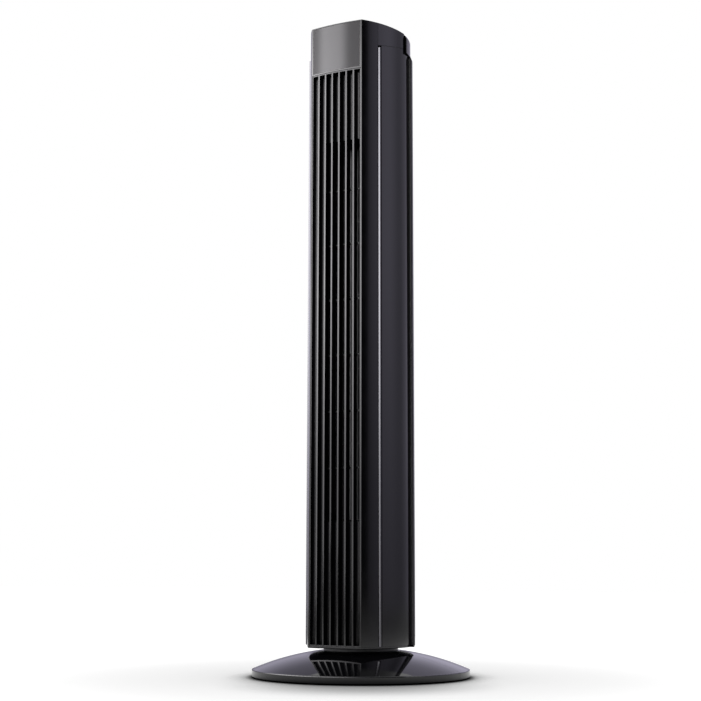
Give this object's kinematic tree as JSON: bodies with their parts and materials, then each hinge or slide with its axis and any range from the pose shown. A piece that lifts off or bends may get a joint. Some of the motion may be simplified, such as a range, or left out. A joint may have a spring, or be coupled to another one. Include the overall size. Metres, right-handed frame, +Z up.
{
  "type": "tower fan",
  "caption": "Slim oscillating tower fan: faceted column with slatted front outlet, bare top plate, crossflow blower, push buttons and a round shallow base.",
  "frame": {"origin": "centre of the resting face under the base, on the axis the column swings about", "axes": "+Z up, -Y out of the outlet grille, +X to the right as seen from in front"},
  "size_m": [0.301, 0.301, 0.9216],
  "materials": {
    "gloss_black": "high-gloss moulded black ABS",
    "satin_black": "semi-gloss moulded black ABS",
    "satin_grey": "satin grey plate, bare",
    "bright_trim": "bright drawn strip",
    "matte_black": "fine-textured black ABS",
    "button_black": "gloss button caps",
    "rubber_black": "soft black rubber",
    "impeller_black": "glass-filled black plastic",
    "white_nylon": "natural white nylon",
    "zinc_steel": "zinc-plated steel",
    "lamination_steel": "laminated electrical steel",
    "copper_winding": "enamelled copper winding",
    "bronze_bush": "sintered bronze",
    "board_green": "glass-fibre circuit board",
    "lens_clear": "translucent light pipes",
    "motor_can": "pressed steel can"
  },
  "bodies": {
    "base": {"base_front_half": "gloss_black", "base_rear_half": "gloss_black", "base_feet": "rubber_black", "base_screws": "zinc_steel", "swivel_hub": "matte_black", "thrust_ring": "white_nylon", "swing_gear": "white_nylon", "gear_clip": "zinc_steel"},
    "column": {"bottom_housing": "satin_black", "front_shell": "satin_black", "front_grille": "satin_black", "name_plate": "satin_grey", "side_trim_left": "bright_trim", "side_trim_right": "bright_trim", "side_panel_left": "satin_black", "side_panel_right": "satin_black", "rear_shell": "matte_black", "rear_screws": "zinc_steel", "handle_pocket": "matte_black", "cord_gland": "rubber_black", "top_cap": "satin_black", "control_panel": "matte_black", "indicator_lenses": "lens_clear", "control_board": "board_green", "board_screws": "zinc_steel", "switch_mat": "rubber_black", "frame_posts": "matte_black", "lower_deck": "matte_black", "upper_deck": "matte_black", "scroll_wall": "matte_black", "tongue_wall": "matte_black", "motor_stator": "lamination_steel", "motor_windings": "copper_winding", "motor_upper_bell": "zinc_steel", "motor_lower_bell": "zinc_steel", "motor_bushes": "bronze_bush", "motor_screws": "zinc_steel", "bearing_holder": "rubber_black", "upper_bush": "bronze_bush", "swing_motor": "motor_can", "swing_motor_screws": "zinc_steel", "run_capacitor": "motor_can"},
    "blower": {"impeller": "impeller_black", "motor_rotor": "lamination_steel", "motor_shaft": "zinc_steel"},
    "swing_pinion": {"swing_pinion": "white_nylon"},
    "power_button": {"power_button": "button_black"},
    "speed_button": {"speed_button": "button_black"},
    "timer_button": {"timer_button": "button_black"},
    "swing_button": {"swing_button": "button_black"}
  },
  "joints": [
    {"name": "swing", "type": "hinge", "parent": "base", "child": "column", "pos_m": [0, 0, 0.0415], "axis": [0, 0, 1], "range_deg": [-35, 35]},
    {"name": "blower_spin", "type": "hinge", "parent": "column", "child": "blower", "pos_m": [0, 0.008, 0.2], "axis": [0, 0, 1], "continuous": true},
    {"name": "pinion_spin", "type": "hinge", "parent": "column", "child": "swing_pinion", "pos_m": [0, 0.0375, 0.065], "axis": [0, 0, 1], "range_deg": [-141, 141]},
    {"name": "power_press", "type": "slide", "parent": "column", "child": "power_button", "axis": [0, 0, -1], "range_m": [0, 0.0012], "stiffness_N_per_m": 800, "springref_m": -0.001},
    {"name": "speed_press", "type": "slide", "parent": "column", "child": "speed_button", "axis": [0, 0, -1], "range_m": [0, 0.0012], "stiffness_N_per_m": 800, "springref_m": -0.001},
    {"name": "timer_press", "type": "slide", "parent": "column", "child": "timer_button", "axis": [0, 0, -1], "range_m": [0, 0.0012], "stiffness_N_per_m": 800, "springref_m": -0.001},
    {"name": "swing_press", "type": "slide", "parent": "column", "child": "swing_button", "axis": [0, 0, -1], "range_m": [0, 0.0012], "stiffness_N_per_m": 800, "springref_m": -0.001}
  ],
  "couplings": [
    {"joint": "pinion_spin", "follows": "swing", "ratio": 4}
  ]
}
